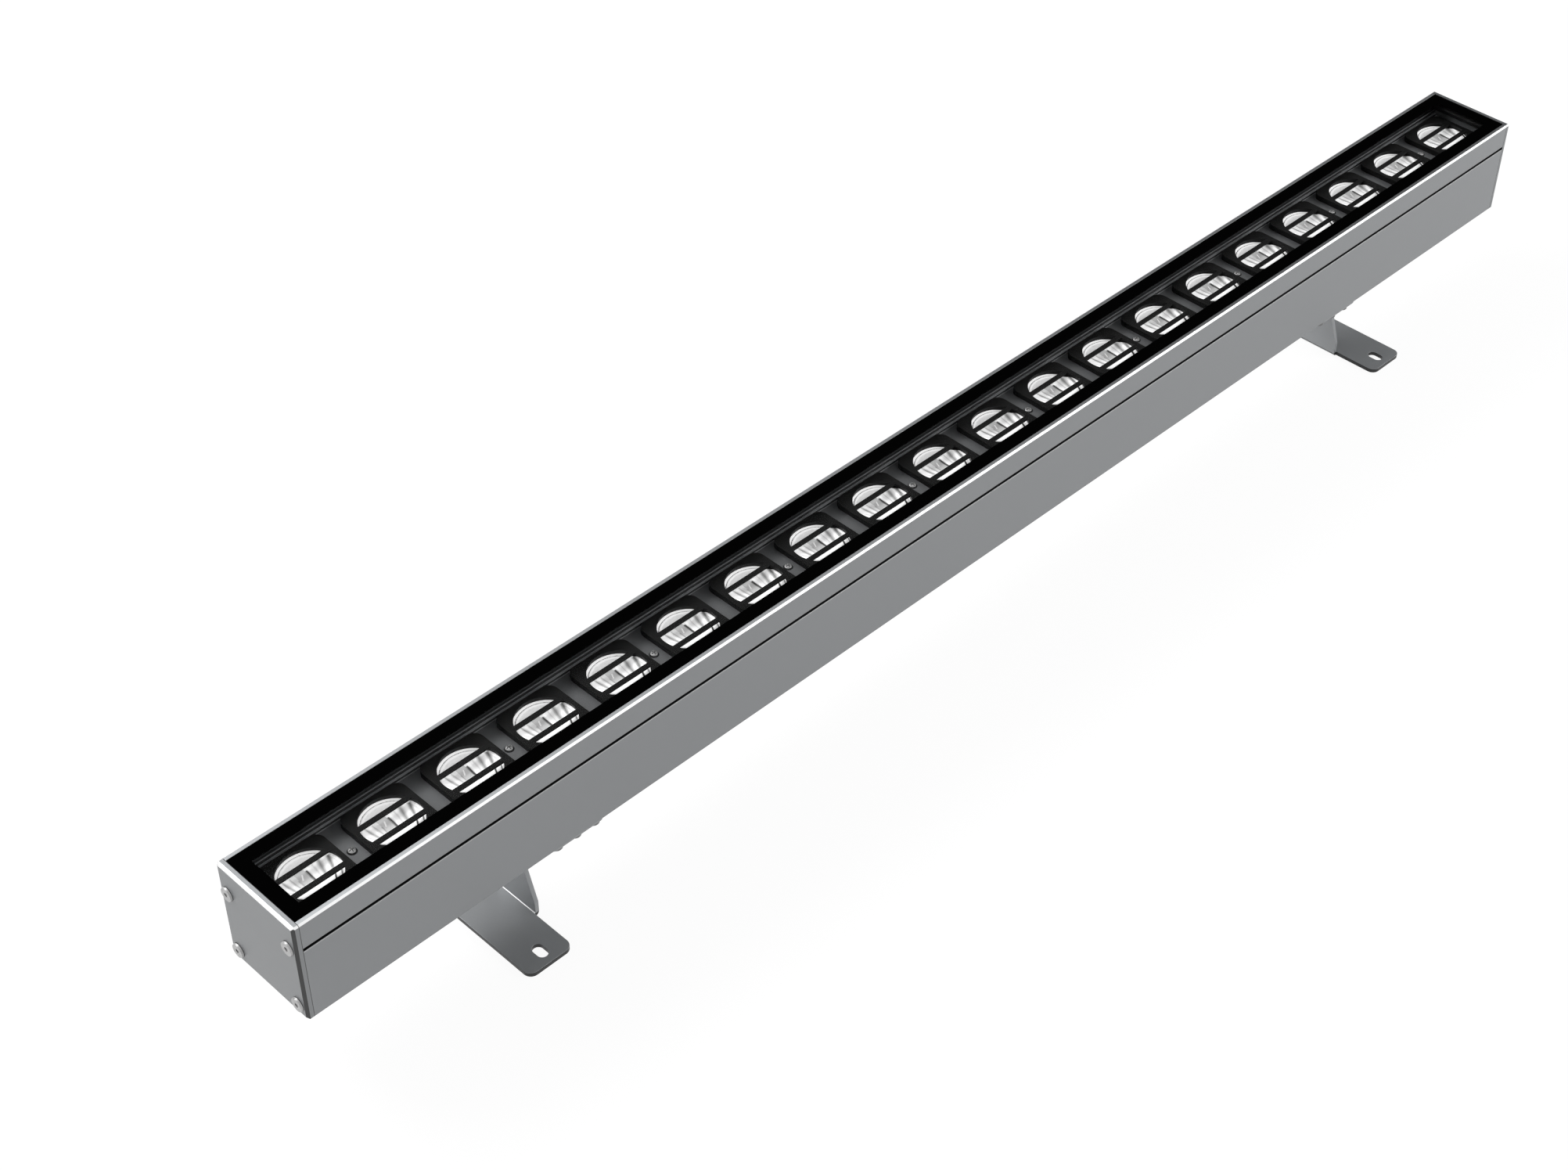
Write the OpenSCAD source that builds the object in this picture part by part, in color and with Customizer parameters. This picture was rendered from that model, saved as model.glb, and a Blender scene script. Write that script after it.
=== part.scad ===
// Outdoor wall washer light: a long glazed bar of twenty optics on two tilting feet.
// X runs along the bar, -Y is its front side, and Z is up from the underside of the feet.
// The origin is the middle of the footprint. Heights named in the bar count from its underside.

/* [Housing] */
// Length over the two end caps
bar_l = 1000; // [900:1:1300]
// Width of the extruded housing
housing_w = 60; // [60:0.5:70]
// Height of the extruded housing
housing_h = 65; // [64:0.5:80]
// Thickness of the long side walls, and so of the rim beside the glass
wall_t = 3; // [2.4:0.1:3.4]
// Thickness of the floor
floor_t = 3; // [2:0.1:4]
// Depth of the inner web's top face, which carries the boards, below the rim
web_depth = 24; // [23:0.5:26]
// Thickness of the inner web
web_t = 3; // [2:0.1:5]
// Chamfer along the two top edges
top_chamfer = 1; // [0.5:0.1:2]
// Chamfer along the two bottom edges
bottom_chamfer = 0.5; // [0.3:0.1:2]
// Depth of the lower edge of the groove in each side below the rim
groove_low_depth = 18.3; // [15:0.1:21]
// Height of that groove
groove_h = 2.2; // [1:0.1:4]
// Depth of that groove
groove_depth = 1.6; // [0.5:0.1:2]

/* [Screw ports] */
// Distance of the screw axes from the outside of the side walls
port_inset = 6.4; // [6:0.1:7]
// Height of the lower pair of screw axes
port_low_z = 7.2; // [6.6:0.1:8]
// Depth of the upper pair of screw axes below the rim
port_high_depth = 17.4; // [17:0.1:18]
// Width of the solid block round each port
port_w = 8; // [7:0.1:9]
// Depth of the rails under the chassis plate below the rim
rail_depth = 13.6; // [12.4:0.1:13.8]

/* [End caps] */
// Thickness of an end cap
cap_t = 4; // [3:0.1:6]
// Chamfer round the outer face of an end cap
cap_chamfer = 1.5; // [0.5:0.1:2]
// Length of the shelf that carries the glass seal at each end
cap_shelf_l = 5.5; // [4:0.1:8]
// Thickness of the sheet gasket let into an end cap
end_gasket_t = 1; // [0.5:0.1:1.5]
// Distance of that gasket from the outline of the cap
end_gasket_inset = 1.6; // [1:0.1:2.5]
// Width of that gasket's land past the port blocks
end_gasket_land = 0.8; // [0.2:0.1:2]
// Radius of the threads of the end cap screws
end_screw_r = 2; // [1.5:0.1:2.2]
// Radius of their heads
end_head_r = 4.2; // [3.5:0.1:4.5]
// Height of their heads
end_head_h = 1.3; // [1:0.1:2.5]
// Length of their threads under the head
end_screw_l = 16; // [10:1:30]
// Width across the flats of their hex sockets
end_socket_w = 2.5; // [1.5:0.1:3]

/* [Glass] */
// Thickness of the glass cover
glass_t = 4; // [3:0.1:4.8]
// Width of the black border printed on the glass
border_w = 8.4; // [5:0.1:9]
// Depth of the printed border
border_t = 0.2; // [0.1:0.05:0.5]
// Thickness of the seal under the glass
glass_seal_t = 1; // [0.5:0.1:1.5]
// Width of the ledge under that seal
ledge_w = 3; // [2:0.1:3]
// Thickness of that ledge
ledge_t = 2.5; // [2:0.1:2.9]
// Gap round the edge of the glass
glass_gap = 0.2; // [0.1:0.05:0.4]

/* [Chassis plate] */
// Thickness of the chassis sheet
chassis_t = 1; // [0.8:0.1:1.2]
// Gap between the top of its upturned edges and the ledge above
chassis_edge_gap = 1.6; // [0.3:0.1:2]
// Width of the folded hem along the foot of each upturned edge
hem_w = 1.4; // [0.6:0.1:1.8]
// Height of that hem over the chassis
hem_h = 1.5; // [0.6:0.1:2]
// Gap between the chassis and the seal ledges at each side
chassis_side_gap = 0.3; // [0.2:0.1:1]
// Gap between the chassis and each end cap
chassis_end_gap = 2.3; // [1:0.1:4]
// Radius of the threads of the chassis screws
chassis_screw_r = 1.5; // [1:0.1:2]
// Radius of their pan heads
chassis_head_r = 2.7; // [2.2:0.1:3.5]
// Height of their pan heads
chassis_head_h = 1.6; // [1:0.1:2]
// Length of their threads under the head
chassis_screw_l = 6; // [4:0.5:8]
// Length of the cross cut in each head
cross_l = 3.2; // [2:0.1:4]
// Width of that cross
cross_w = 0.7; // [0.4:0.1:1]
// Depth of that cross
cross_depth = 0.8; // [0.4:0.1:1.2]

/* [Optics] */
// Number of optics along the bar, in boards of four
optic_count = 20; // [16:4:20]
// Distance from the outside of an end cap to the first optic's cell
row_end = 7; // [6:0.5:12]
// Least gap between the square black holder of a lens and the chassis edge beside it
holder_side_gap = 3.4; // [2.2:0.1:3.9]
// Least distance from that holder to the middle of the strip between two holders
holder_end_gap = 5.35; // [4.2:0.05:5.8]
// Corner radius of that holder
holder_round = 5.5; // [2:0.5:8]
// Height of that holder over the chassis
holder_h = 3.6; // [3:0.1:4]
// Least wall of the holder round its opening, where the lens face is
holder_wall = 1.9; // [1.6:0.1:2.8]
// Width by which that opening narrows from the lens face up to its edge
opening_draft = 0.8; // [0:0.1:1.5]
// Height of the lens face over the chassis
lens_face_h = 0.6; // [0.5:0.1:2]
// Width of the lens rim under the holder
lens_rim_w = 0.8; // [0.5:0.1:1]
// Width of the chassis edge under that rim
lens_lap = 1.3; // [0.6:0.1:1.6]
// Gap between the lens body and the hole in the chassis
lens_gap = 0.3; // [0.1:0.1:1]
// Radius of the lens collar on the light board
lens_foot_r = 6.5; // [5.5:0.1:8]
// Height of that collar
lens_foot_h = 2.4; // [1:0.1:4]
// Radius of the pocket over each light source
lens_pocket_r = 4.5; // [3.8:0.1:5]
// Height of that pocket
lens_pocket_h = 4; // [3:0.1:6]
// Distance of each louvre bar's middle from the middle of the lens
louvre_y = 6.45; // [4:0.05:9]
// Width of a louvre bar
louvre_w = 2.9; // [1.5:0.1:4]
// Height of a louvre bar, whose top is level with the holder's
louvre_h = 1; // [0.5:0.1:1.8]

/* [Light boards] */
// Gap between a light board and the rail at each side
board_side_gap = 4.6; // [1.6:0.1:9]
// Thickness of a light board
board_t = 1.6; // [1:0.1:2]
// Gap between neighbouring boards
board_gap = 1; // [0.5:0.1:3]
// Side of a square light source
chip_w = 5; // [3:0.1:5]
// Height of its package
chip_h = 0.8; // [0.4:0.1:1.2]
// Radius of its clear dome
chip_dome_r = 1.9; // [1:0.1:2.2]
// Width across the flats of a spacer under the chassis
spacer_w = 5.5; // [5:0.1:8]
// Length of the plug that links two boards
link_l = 12; // [6:0.5:16]
// Width of that plug
link_w = 8; // [4:0.5:12]
// Height of that plug
link_h = 3; // [2:0.1:6]

/* [Driver] */
// Length of the driver case
driver_l = 160; // [100:1:170]
// Gap between the driver case and the port blocks at each side
driver_side_gap = 0.6; // [0.6:0.1:4.6]
// Gap between the driver's lid and the web above it
driver_headroom = 6.5; // [4.5:0.5:12.5]
// Wall of the driver case
driver_wall = 1.5; // [1:0.1:2]
// Thickness of the thermal pad under the driver
pad_t = 1; // [0.5:0.1:1.5]
// Height of the driver's circuit board over the case floor
driver_board_lift = 3; // [2:0.5:5]
// Gap between the parts on that board and the lid
driver_part_gap = 5.4; // [3:0.1:8]
// Radius of the supply and output leads
lead_r = 1.1; // [0.8:0.1:1.3]
// Distance between neighbouring leads
lead_pitch = 5; // [3:0.5:6]
// Free length of the leads between terminal block and driver
supply_run = 17; // [10:1:25]
// Distance from the driver to the rising output leads
output_run = 18; // [12:1:25]
// Bend radius of the output leads
output_bend_r = 8; // [4:0.5:10]
// Length of the terminal block
terminal_l = 24; // [18:1:30]
// Width of the terminal block
terminal_w = 20; // [18:1:30]
// Height of the terminal block over the middle of its leads
terminal_cover = 4; // [2:0.5:10]

/* [Cable gland and breather] */
// Distance from the terminal block to the axis of the gland
gland_run = 24; // [14:1:26]
// Radius of the gland's thread in the floor
gland_r = 8; // [7:0.5:8.5]
// Width across the flats of the gland body, its nut and locknut
gland_hex_w = 19; // [18:0.5:24]
// Height of the gland's hex collar
gland_collar_h = 5; // [3:0.5:8]
// Length of the spigot under that collar
gland_spigot_l = 9; // [6:0.5:14]
// Wall of the gland body
gland_wall = 2.8; // [2:0.1:3]
// Radius of the cable that the gland's seal takes
cable_r = 4.1; // [3:0.1:4.5]
// Height of the domed end of the gland nut
gland_dome_h = 4; // [2:0.5:6]
// Height of the locknut inside the floor
locknut_h = 4.5; // [3:0.5:6]
// Radius of the breather plug's thread
breather_r = 6; // [4:0.5:8]
// Width across the flats of its head
breather_hex_w = 15; // [13.5:0.5:20]
// Height of its head
breather_head_h = 4; // [3:0.5:6]

/* [Brackets] */
// Thickness of the bracket sheet
sheet_t = 2.5; // [2:0.1:3]
// Inner bend radius of the bracket sheet
bend_r = 0.5; // [0.3:0.1:2]
// Distance between the bolt slots of the two feet
foot_span = 732; // [500:1:740]
// Gap between a foot and the side of the housing when the foot is swung up square
swing_gap = 2; // [1:0.5:20]
// Width of a foot along the bar, with its bend
foot_w = 32.5; // [26:0.5:50]
// Length of a foot across the bar
foot_l = 96; // [90:1:140]
// Corner radius of a foot
foot_round = 5; // [1:0.5:8]
// Distance of the slots from the outer edge of the foot
slot_edge = 15; // [8:0.5:16]
// Distance between the two slots of a foot
slot_span = 77; // [60:0.5:78]
// Width of a slot
slot_w = 6.5; // [4.5:0.1:9]
// Length of a slot across the bar
slot_l = 10; // [9.5:0.5:14]
// Depth of the tilt axis below the housing
pivot_drop = 20; // [19:0.5:24]
// Radius of the rounded end of each ear
ear_r = 9; // [7:0.5:10]
// Half width of a foot's ear where it leaves the foot
ear_half_w = 17.5; // [12:0.5:24]
// Straight length of that ear before it tapers
ear_straight = 7; // [3:0.5:12]
// Length of the hanger flange along the bar
hanger_l = 38.5; // [38.5:0.5:60]
// Distance of the hanger flange's edges from the sides of the housing
hanger_side_gap = 1.5; // [1:0.5:4]
// Corner radius of the hanger flange
hanger_round = 3; // [0.5:0.5:5]
// Half width of the hanger's ear where it leaves the flange
hanger_ear_half_w = 18; // [12:0.5:20]
// Straight length of the hanger's ear before it tapers
hanger_ear_straight = 2; // [1:0.5:4]
// Number of screws in each row of a hanger
hanger_screw_count = 3; // [1:1:3]
// Distance between the screws of a row
hanger_screw_pitch = 12.6; // [9:0.1:13]
// Distance from the outside of the hanger's ear to the nearest screw
hanger_screw_edge = 9.8; // [7:0.1:12]
// Distance of each row of screws from the side of the housing
hanger_screw_inset = 7; // [7:0.1:8]
// Radius of the threads of the hanger screws
hanger_screw_r = 2; // [1.5:0.1:2.5]
// Radius of their cap heads
hanger_head_r = 3.5; // [3:0.1:4.4]
// Height of their cap heads
hanger_head_h = 4; // [2.5:0.1:4.5]
// Width across the flats of the hex sockets in those heads
hanger_socket_w = 3; // [2:0.1:4]
// Length of their threads above the hanger
hanger_screw_reach = 5; // [3:0.5:6]
// Radius of a pivot bolt
pivot_r = 3; // [2:0.1:4]
// Width across the flats of the pivot bolt's head and nut
pivot_hex_w = 10; // [9:0.5:14]
// Height of the pivot bolt's head
pivot_head_h = 4; // [2:0.5:6]
// Height of the pivot nut
pivot_nut_h = 5; // [3:0.5:8]
// Outer radius of the plain washers
washer_r = 6.2; // [5:0.1:9]
// Thickness of the plain washers
washer_t = 1.6; // [0.8:0.1:3]
// Outer radius of the friction washer between the two ears
friction_r = 8.5; // [6:0.1:9]
// Thickness of that friction washer
friction_t = 0.5; // [0.3:0.1:2]

/* [Fits] */
// Radial clearance of threads, bolts and bushes in their holes
fit = 0.05; // [0.01:0.01:0.1]
// Clearance round parts that are laid or slid into place
loose = 0.1; // [0.05:0.05:0.3]

/* [Hidden] */
$fn = 64;
over = 1;
optics_per_board = 4;

in_w = housing_w - 2 * wall_t;
web_z = housing_h - web_depth;
web_low_z = web_z - web_t;
groove_z = housing_h - groove_low_depth;
rail_z = housing_h - rail_depth;
ledge_z = housing_h - glass_t - glass_seal_t;
ledge_low_z = ledge_z - ledge_t;
extrusion_l = bar_l - 2 * cap_t;
port_high_z = housing_h - port_high_depth;
port_y = housing_w / 2 - port_inset;
port_in_y = port_y - port_w / 2;
port_bore_r = end_screw_r + fit;
ledge_in_y = in_w / 2 - ledge_w;

foot_outer_x = foot_span / 2 + slot_edge;
ear_in_x = foot_outer_x - foot_w;
ear_out_x = ear_in_x + sheet_t;
plate_in_x = ear_out_x + bend_r;
foot_drop = pivot_drop + housing_w / 2 + swing_gap;
housing_z = sheet_t + foot_drop;
pivot_z = housing_z - pivot_drop;

hanger_ear_out_x = ear_in_x - friction_t;
hanger_ear_in_x = hanger_ear_out_x - sheet_t;
hanger_flange_x = hanger_ear_in_x - bend_r;
hanger_in_x = hanger_ear_out_x - hanger_l;
hanger_screw_x = hanger_ear_out_x - hanger_screw_edge;
hanger_screw_y = housing_w / 2 - hanger_screw_inset;
hanger_w = housing_w - 2 * hanger_side_gap;

optic_pitch = (bar_l - 2 * row_end) / optic_count;
board_count = ceil(optic_count / optics_per_board);
board_pitch = optic_pitch * optics_per_board;
board_w = 2 * (port_in_y - board_side_gap);
board_top_z = web_z + board_t;
chassis_top_z = rail_z + chassis_t;
chassis_edge_z = ledge_low_z - chassis_edge_gap;
chassis_w = 2 * (ledge_in_y - chassis_side_gap);
chassis_l = extrusion_l - 2 * chassis_end_gap;
// A holder is as wide as the tray or the pitch lets it be, whichever is less
holder_w = min(chassis_w - 2 * chassis_t - 2 * holder_side_gap, optic_pitch - 2 * holder_end_gap);
lens_face_r = holder_w / 2 - holder_wall;
opening_r = lens_face_r - opening_draft;
louvre_end_r = holder_w / 2 - holder_wall / 2;
lens_rim_r = lens_face_r + lens_rim_w;
lens_hole_r = lens_rim_r - lens_lap;
lens_body_r = lens_hole_r - lens_gap;
screw_count = optic_count / 2;

// The output leads rise in the middle of the second board, and the other inner parts follow from there.
lead_x = -board_pitch * (board_count - 3) / 2;
driver_right_x = lead_x - output_run;
driver_left_x = driver_right_x - driver_l;
terminal_right_x = driver_left_x - supply_run;
gland_x = terminal_right_x - terminal_l - gland_run;
driver_w = 2 * (port_in_y - driver_side_gap);
driver_h = web_low_z - driver_headroom - driver_wall - pad_t - floor_t;
lead_z = floor_t + pad_t + driver_h / 2;
terminal_h = lead_z + terminal_cover - floor_t;
supply_ys = [-lead_pitch, 0, lead_pitch];
output_ys = [-lead_pitch / 2, lead_pitch / 2];

function two(n) = n < 10 ? str("0", n) : str(n);
lens_names = [for (i = [1 : optic_count]) str("lens_", two(i))];
board_names = [for (i = [1 : board_count]) str("led_board_", i)];

function optic_x(i) = (i - (optic_count - 1) / 2) * optic_pitch;
function board_x(j) = (j - (board_count - 1) / 2) * board_pitch;
function spacer_x(k) = (k - (screw_count - 1) / 2) * 2 * optic_pitch;
function hex_r(across) = across / 2 / cos(30);

// A section drawn in Y and Z, drawn out along X and centred
module along_x(l) {
    rotate([90, 0, 90])
        linear_extrude(l, center = true)
            children();
}

// A rod along X that starts at the given x
module rod_x(x, l, r) {
    translate([x, 0, 0])
        rotate([0, 90, 0])
            cylinder(r = r, h = l);
}

// A rectangle whose width is centred and whose lower edge is at the given height
module band(w, low, high) {
    translate([-w / 2, low])
        square([w, high - low]);
}

// A block centred in X and Y that stands at the given height
module block(size, z) {
    translate([-size[0] / 2, -size[1] / 2, z])
        cube(size);
}

module rounded_rect(l, w, r) {
    square([l - 2 * r, w], center = true);
    square([l, w - 2 * r], center = true);
    for (sx = [-1, 1], sy = [-1, 1])
        translate([sx * (l / 2 - r), sy * (w / 2 - r)])
            circle(r);
}

// The same piece at both ends of the bar
module both_ends() {
    children();
    mirror([1, 0, 0])
        children();
}

module on_housing() {
    translate([0, 0, housing_z])
        children();
}

// A low domed screw head that sits on Z = 0
module dome_head(r, h) {
    cap_r = (r * r + h * h) / (2 * h);
    intersection() {
        translate([0, 0, h - cap_r])
            sphere(cap_r);
        cylinder(r = r, h = h);
    }
}

module housing_outline() {
    half = housing_w / 2;
    polygon([
        [-half + bottom_chamfer, 0], [half - bottom_chamfer, 0],
        [half, bottom_chamfer], [half, housing_h - top_chamfer],
        [half - top_chamfer, housing_h], [-half + top_chamfer, housing_h],
        [-half, housing_h - top_chamfer], [-half, bottom_chamfer]
    ]);
}

module side_grooves() {
    for (s = [-1, 1])
        translate([s * housing_w / 2 - groove_depth, groove_z])
            square([2 * groove_depth, groove_h]);
}

module port_blocks() {
    for (s = [-1, 1]) {
        translate([s * (housing_w / 2 + port_in_y) / 2, 0]) {
            band(housing_w / 2 - port_in_y, 0, port_low_z + port_w / 2);
            band(housing_w / 2 - port_in_y, port_high_z - port_w / 2, rail_z);
        }
    }
}

module housing_section() {
    difference() {
        housing_outline();
        side_grooves();
        difference() {
            union() {
                band(in_w, floor_t, web_low_z);
                band(in_w, web_z, ledge_low_z);
            }
            port_blocks();
        }
        band(in_w - 2 * ledge_w, ledge_low_z - over, ledge_z + over);
        band(in_w, ledge_z, housing_h + over);
    }
}

module at_ports() {
    for (s = [-1, 1], z = [port_low_z, port_high_z])
        translate([0, s * port_y, z])
            children();
}

module at_hanger_screws() {
    for (s = [-1, 1], k = [0 : hanger_screw_count - 1])
        translate([hanger_screw_x - k * hanger_screw_pitch, s * hanger_screw_y, 0])
            children();
}

module housing() {
    color("#8e9093")
        on_housing()
            difference() {
                along_x(extrusion_l)
                    housing_section();
                at_ports()
                    rod_x(-extrusion_l / 2 - over, extrusion_l + 2 * over, port_bore_r);
                both_ends()
                    at_hanger_screws()
                        translate([0, 0, -over])
                            cylinder(r = hanger_screw_r + fit, h = hanger_screw_reach + over);
                translate([gland_x, 0, -over])
                    cylinder(r = gland_r + fit, h = floor_t + 2 * over);
                translate([-gland_x, 0, -over])
                    cylinder(r = breather_r + fit, h = floor_t + 2 * over);
                for (k = [0 : screw_count - 1])
                    translate([spacer_x(k), 0, web_low_z - over])
                        cylinder(r = chassis_screw_r + fit, h = web_t + 2 * over);
                translate([lead_x, 0, web_low_z - over])
                    cylinder(r = lead_pitch / 2 + 2 * lead_r, h = web_t + 2 * over);
            }
}

module end_gasket_outline() {
    w = housing_w - 2 * end_gasket_inset;
    band(w, end_gasket_inset, ledge_low_z - end_gasket_land);
}

// The right end cap: a chamfered plate with a gasket pocket and a shelf for the glass seal
module end_cap() {
    outer_x = bar_l / 2;
    inner_x = outer_x - cap_t;
    half = housing_w / 2;
    color("#939598")
        on_housing()
            difference() {
                union() {
                    intersection() {
                        translate([outer_x - cap_t / 2, 0, 0])
                            along_x(cap_t)
                                housing_outline();
                        rotate([90, 0, 0])
                            linear_extrude(housing_w, center = true)
                                polygon([
                                    [inner_x, 0], [outer_x - cap_chamfer, 0], [outer_x, cap_chamfer],
                                    [outer_x, housing_h - cap_chamfer], [outer_x - cap_chamfer, housing_h],
                                    [inner_x, housing_h]
                                ]);
                        linear_extrude(housing_h)
                            polygon([
                                [inner_x, -half], [outer_x - cap_chamfer, -half],
                                [outer_x, -half + cap_chamfer], [outer_x, half - cap_chamfer],
                                [outer_x - cap_chamfer, half], [inner_x, half]
                            ]);
                    }
                    translate([inner_x - cap_shelf_l / 2, 0, ledge_low_z])
                        block([cap_shelf_l, 2 * (ledge_in_y - loose), ledge_t], 0);
                }
                translate([inner_x, 0, 0])
                    along_x(2 * end_gasket_t)
                        end_gasket_outline();
                at_ports()
                    rod_x(inner_x - over, cap_t + 2 * over, end_screw_r + fit);
            }
}

module end_gasket() {
    color("#1d1d1f")
        on_housing()
            difference() {
                translate([bar_l / 2 - cap_t + end_gasket_t / 2, 0, 0])
                    along_x(end_gasket_t)
                        difference() {
                            end_gasket_outline();
                            band(2 * (port_in_y - end_gasket_land),
                                 port_low_z + port_w / 2 + end_gasket_land,
                                 port_high_z - port_w / 2 - end_gasket_land);
                        }
                at_ports()
                    rod_x(bar_l / 2 - cap_t - over, end_gasket_t + 2 * over, end_screw_r + fit);
            }
}

module end_screw() {
    difference() {
        union() {
            rod_x(bar_l / 2 - end_screw_l, end_screw_l, end_screw_r);
            translate([bar_l / 2, 0, 0])
                rotate([0, 90, 0])
                    cylinder(r1 = end_head_r, r2 = end_head_r - end_head_h / 4, h = end_head_h);
        }
        translate([bar_l / 2 + end_head_h / 4, 0, 0])
            rotate([0, 90, 0])
                cylinder(r = hex_r(end_socket_w), h = end_head_h, $fn = 6);
    }
}

module end_cap_screws() {
    color("#b4b6b8")
        on_housing()
            both_ends()
                at_ports()
                    end_screw();
}

module glass_plate_outline(inset) {
    square([extrusion_l - 2 * inset, in_w - 2 * inset], center = true);
}

module glass_cover() {
    glass_z = ledge_z + glass_seal_t;
    color([0.75, 0.8, 0.82, 0.4])
        on_housing() {
            translate([0, 0, glass_z])
                linear_extrude(glass_t - border_t)
                    glass_plate_outline(glass_gap);
            translate([0, 0, glass_z + glass_t - border_t])
                linear_extrude(border_t)
                    glass_plate_outline(glass_gap + border_w);
        }
}

module glass_border() {
    color("#0a0a0c")
        on_housing()
            translate([0, 0, housing_h - border_t])
                linear_extrude(border_t)
                    difference() {
                        glass_plate_outline(glass_gap);
                        glass_plate_outline(glass_gap + border_w);
                    }
}

module glass_gasket() {
    color("#202022")
        on_housing()
            translate([0, 0, ledge_z])
                linear_extrude(glass_seal_t)
                    difference() {
                        glass_plate_outline(glass_gap);
                        square([extrusion_l - 2 * cap_shelf_l + 2 * loose, 2 * (ledge_in_y + loose)],
                               center = true);
                    }
}

module chassis_plate() {
    color("#6b6d70")
        on_housing()
            difference() {
                block([chassis_l, chassis_w, chassis_edge_z - rail_z], rail_z);
                block([chassis_l - 2 * chassis_t, chassis_w - 2 * chassis_t, chassis_edge_z - rail_z],
                      chassis_top_z + hem_h);
                block([chassis_l - 2 * chassis_t, chassis_w - 2 * chassis_t - 2 * hem_w,
                       chassis_edge_z - rail_z], chassis_top_z);
                for (i = [0 : optic_count - 1])
                    translate([optic_x(i), 0, rail_z - over])
                        cylinder(r = lens_hole_r, h = chassis_t + 2 * over);
                for (k = [0 : screw_count - 1])
                    translate([spacer_x(k), 0, rail_z - over])
                        cylinder(r = chassis_screw_r + fit, h = chassis_t + 2 * over);
            }
}

module chassis_screws() {
    color("#9a9c9f")
        on_housing()
            for (k = [0 : screw_count - 1])
                translate([spacer_x(k), 0, chassis_top_z])
                    difference() {
                        union() {
                            dome_head(chassis_head_r, chassis_head_h);
                            translate([0, 0, -chassis_screw_l])
                                cylinder(r = chassis_screw_r, h = chassis_screw_l + chassis_head_h / 4);
                        }
                        for (a = [0, 90])
                            rotate([0, 0, a])
                                block([cross_l, cross_w, chassis_head_h], chassis_head_h - cross_depth);
                    }
}

// Hex spacers: each has a stud in the web below and takes a chassis screw from above
module chassis_spacers() {
    spacer_h = rail_z - board_top_z;
    color("#c8b273")
        on_housing()
            for (k = [0 : screw_count - 1])
                translate([spacer_x(k), 0, board_top_z])
                    difference() {
                        union() {
                            cylinder(r = hex_r(spacer_w), h = spacer_h, $fn = 6);
                            translate([0, 0, -board_t - web_t])
                                cylinder(r = chassis_screw_r, h = board_t + web_t + spacer_h / 4);
                        }
                        translate([0, 0, spacer_h - chassis_screw_l])
                            cylinder(r = chassis_screw_r + fit, h = chassis_screw_l + over);
                    }
}

module lens_holder() {
    opening_h = holder_h - lens_face_h;
    difference() {
        linear_extrude(holder_h)
            rounded_rect(holder_w, holder_w, holder_round);
        translate([0, 0, -over])
            cylinder(r = lens_rim_r + loose, h = lens_face_h + over);
        translate([0, 0, lens_face_h])
            cylinder(r1 = lens_face_r, r2 = opening_r, h = opening_h);
        translate([0, 0, holder_h - over])
            cylinder(r = opening_r, h = 2 * over);
    }
    intersection() {
        for (s = [-1, 1])
            translate([0, s * louvre_y, 0])
                block([holder_w, louvre_w, louvre_h], holder_h - louvre_h);
        translate([0, 0, holder_h - louvre_h])
            cylinder(r = louvre_end_r, h = louvre_h);
    }
}

module lens_holders() {
    color("#141416")
        on_housing()
            for (i = [0 : optic_count - 1])
                translate([optic_x(i), 0, chassis_top_z])
                    lens_holder();
}

// One optic: a flat face with a thin rim on the chassis, over a body that widens from the light source
module lens(i) {
    rim_z = chassis_top_z - board_top_z;
    color([0.9, 0.92, 0.93, 0.7])
        on_housing()
            translate([optic_x(i), 0, board_top_z])
                rotate_extrude()
                    polygon([
                        [lens_pocket_r, 0], [lens_foot_r, 0], [lens_foot_r, lens_foot_h],
                        [lens_body_r, rim_z - chassis_t - loose], [lens_body_r, rim_z],
                        [lens_rim_r, rim_z], [lens_rim_r, rim_z + lens_face_h],
                        [0, rim_z + lens_face_h], [0, lens_pocket_h], [lens_pocket_r, lens_pocket_h]
                    ]);
}

module led_board(j) {
    color("#e8e9e6")
        on_housing()
            difference() {
                translate([board_x(j), 0, 0])
                    block([board_pitch - board_gap, board_w, board_t], web_z);
                for (k = [0 : screw_count - 1])
                    translate([spacer_x(k), 0, web_z - over])
                        cylinder(r = chassis_screw_r + fit, h = board_t + 2 * over);
                for (y = output_ys)
                    translate([lead_x, y, web_z - over])
                        cylinder(r = lead_r + fit, h = board_t + 2 * over);
            }
}

module led_chips() {
    color("#e9d36a")
        on_housing()
            for (i = [0 : optic_count - 1])
                translate([optic_x(i), 0, board_top_z]) {
                    block([chip_w, chip_w, chip_h], 0);
                    translate([0, 0, chip_h])
                        dome_head(chip_dome_r, chip_dome_r * 0.7);
                }
}

module board_links() {
    color("#f2f2ee")
        on_housing()
            for (j = [0 : board_count - 2])
                translate([(board_x(j) + board_x(j + 1)) / 2, board_w / 4, 0])
                    block([link_l, link_w, link_h], board_top_z);
}

module driver_at(z) {
    on_housing()
        translate([(driver_left_x + driver_right_x) / 2, 0, floor_t + pad_t + z])
            children();
}

module driver_pad() {
    color("#b9a7c9")
        driver_at(-pad_t)
            block([driver_l, driver_w, pad_t], 0);
}

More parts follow.
